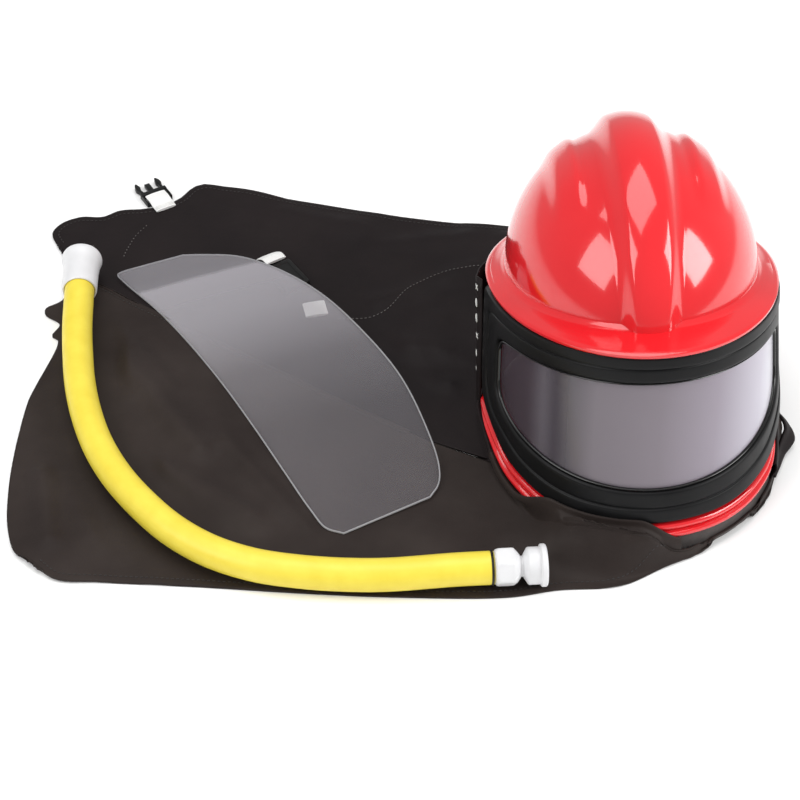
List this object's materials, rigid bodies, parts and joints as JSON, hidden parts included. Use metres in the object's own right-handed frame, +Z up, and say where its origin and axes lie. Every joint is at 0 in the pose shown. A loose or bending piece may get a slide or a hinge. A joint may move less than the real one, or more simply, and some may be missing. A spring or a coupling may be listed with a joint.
{
  "type": "sandblasting hood",
  "caption": "Sandblasting hood laid down: red helmet shell with clear window, dark cloth cape spread out, air hose with end fittings, spare lens and strap buckle.",
  "frame": {"origin": "on the resting plane, on the flat underside of the cape's rear panel, near the middle of the spread hood", "axes": "+X along the spread cape towards the helmet, -Y the way the window faces, +Z up from the resting plane"},
  "size_m": [0.6389, 0.5209, 0.2595],
  "materials": {
    "shell_red": "high gloss red moulded shell",
    "frame_black": "satin black moulded rubber",
    "gasket_black": "glossy black rubber",
    "lens_clear": "clear plastic sheet, polished",
    "cloth_collar": "coated dark grey cloth",
    "cloth_front": "coated charcoal brown cloth",
    "cloth_back": "coated near-black cloth",
    "hose_yellow": "satin yellow hose",
    "fitting_white": "satin white plastic",
    "buckle_black": "satin black plastic",
    "webbing_white": "white woven webbing"
  },
  "bodies": {
    "root": {"helmet_dome": "shell_red", "face_shell": "shell_red", "window_frame": "frame_black", "window_gasket": "gasket_black", "window_lens": "lens_clear", "cape_collar": "cloth_collar", "cape_front": "cloth_front", "cape_back": "cloth_back", "hose": "hose_yellow", "hose_cup": "fitting_white", "hose_coupling": "fitting_white", "spare_lens": "lens_clear", "buckle_male": "buckle_black", "webbing_male": "webbing_white", "buckle_female": "buckle_black", "webbing_female": "webbing_white", "webbing_tail": "webbing_white"}
  },
  "joints": []
}
